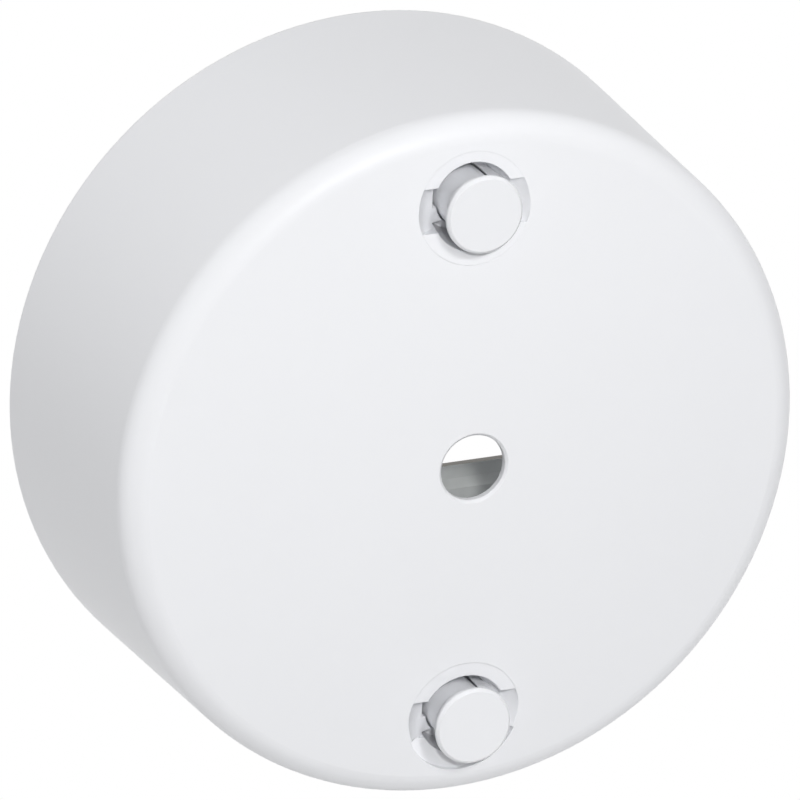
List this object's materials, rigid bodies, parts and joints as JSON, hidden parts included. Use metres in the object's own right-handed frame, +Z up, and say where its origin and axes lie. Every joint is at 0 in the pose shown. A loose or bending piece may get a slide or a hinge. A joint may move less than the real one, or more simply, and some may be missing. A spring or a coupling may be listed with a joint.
{
  "type": "ceiling rose",
  "caption": "Round white cup-shaped ceiling rose with a central cord hole, push-in lock pins in scooped seats and a folded steel mounting bracket inside.",
  "frame": {"origin": "the middle of the two screw slots, on the ceiling plane", "axes": "+Z up into the ceiling, so the face looks down; +X along the line of the screw slots; the lock pins stand on the Y axis"},
  "size_m": [0.1082, 0.1082, 0.0481],
  "materials": {
    "canopy_plastic": "satin moulded white thermoplastic",
    "pin_plastic": "satin moulded white thermoplastic",
    "bracket_steel": "zinc-coated sheet steel"
  },
  "bodies": {
    "rose": {"canopy": "canopy_plastic", "mounting_bracket": "bracket_steel"},
    "front_pin": {"front_lock_pin": "pin_plastic"},
    "rear_pin": {"rear_lock_pin": "pin_plastic"}
  },
  "joints": [
    {"name": "front_pin_push", "type": "slide", "parent": "rose", "child": "front_pin", "axis": [0, 0, 1], "range_m": [0, 0.004]},
    {"name": "rear_pin_push", "type": "slide", "parent": "rose", "child": "rear_pin", "axis": [0, 0, 1], "range_m": [0, 0.004]}
  ]
}
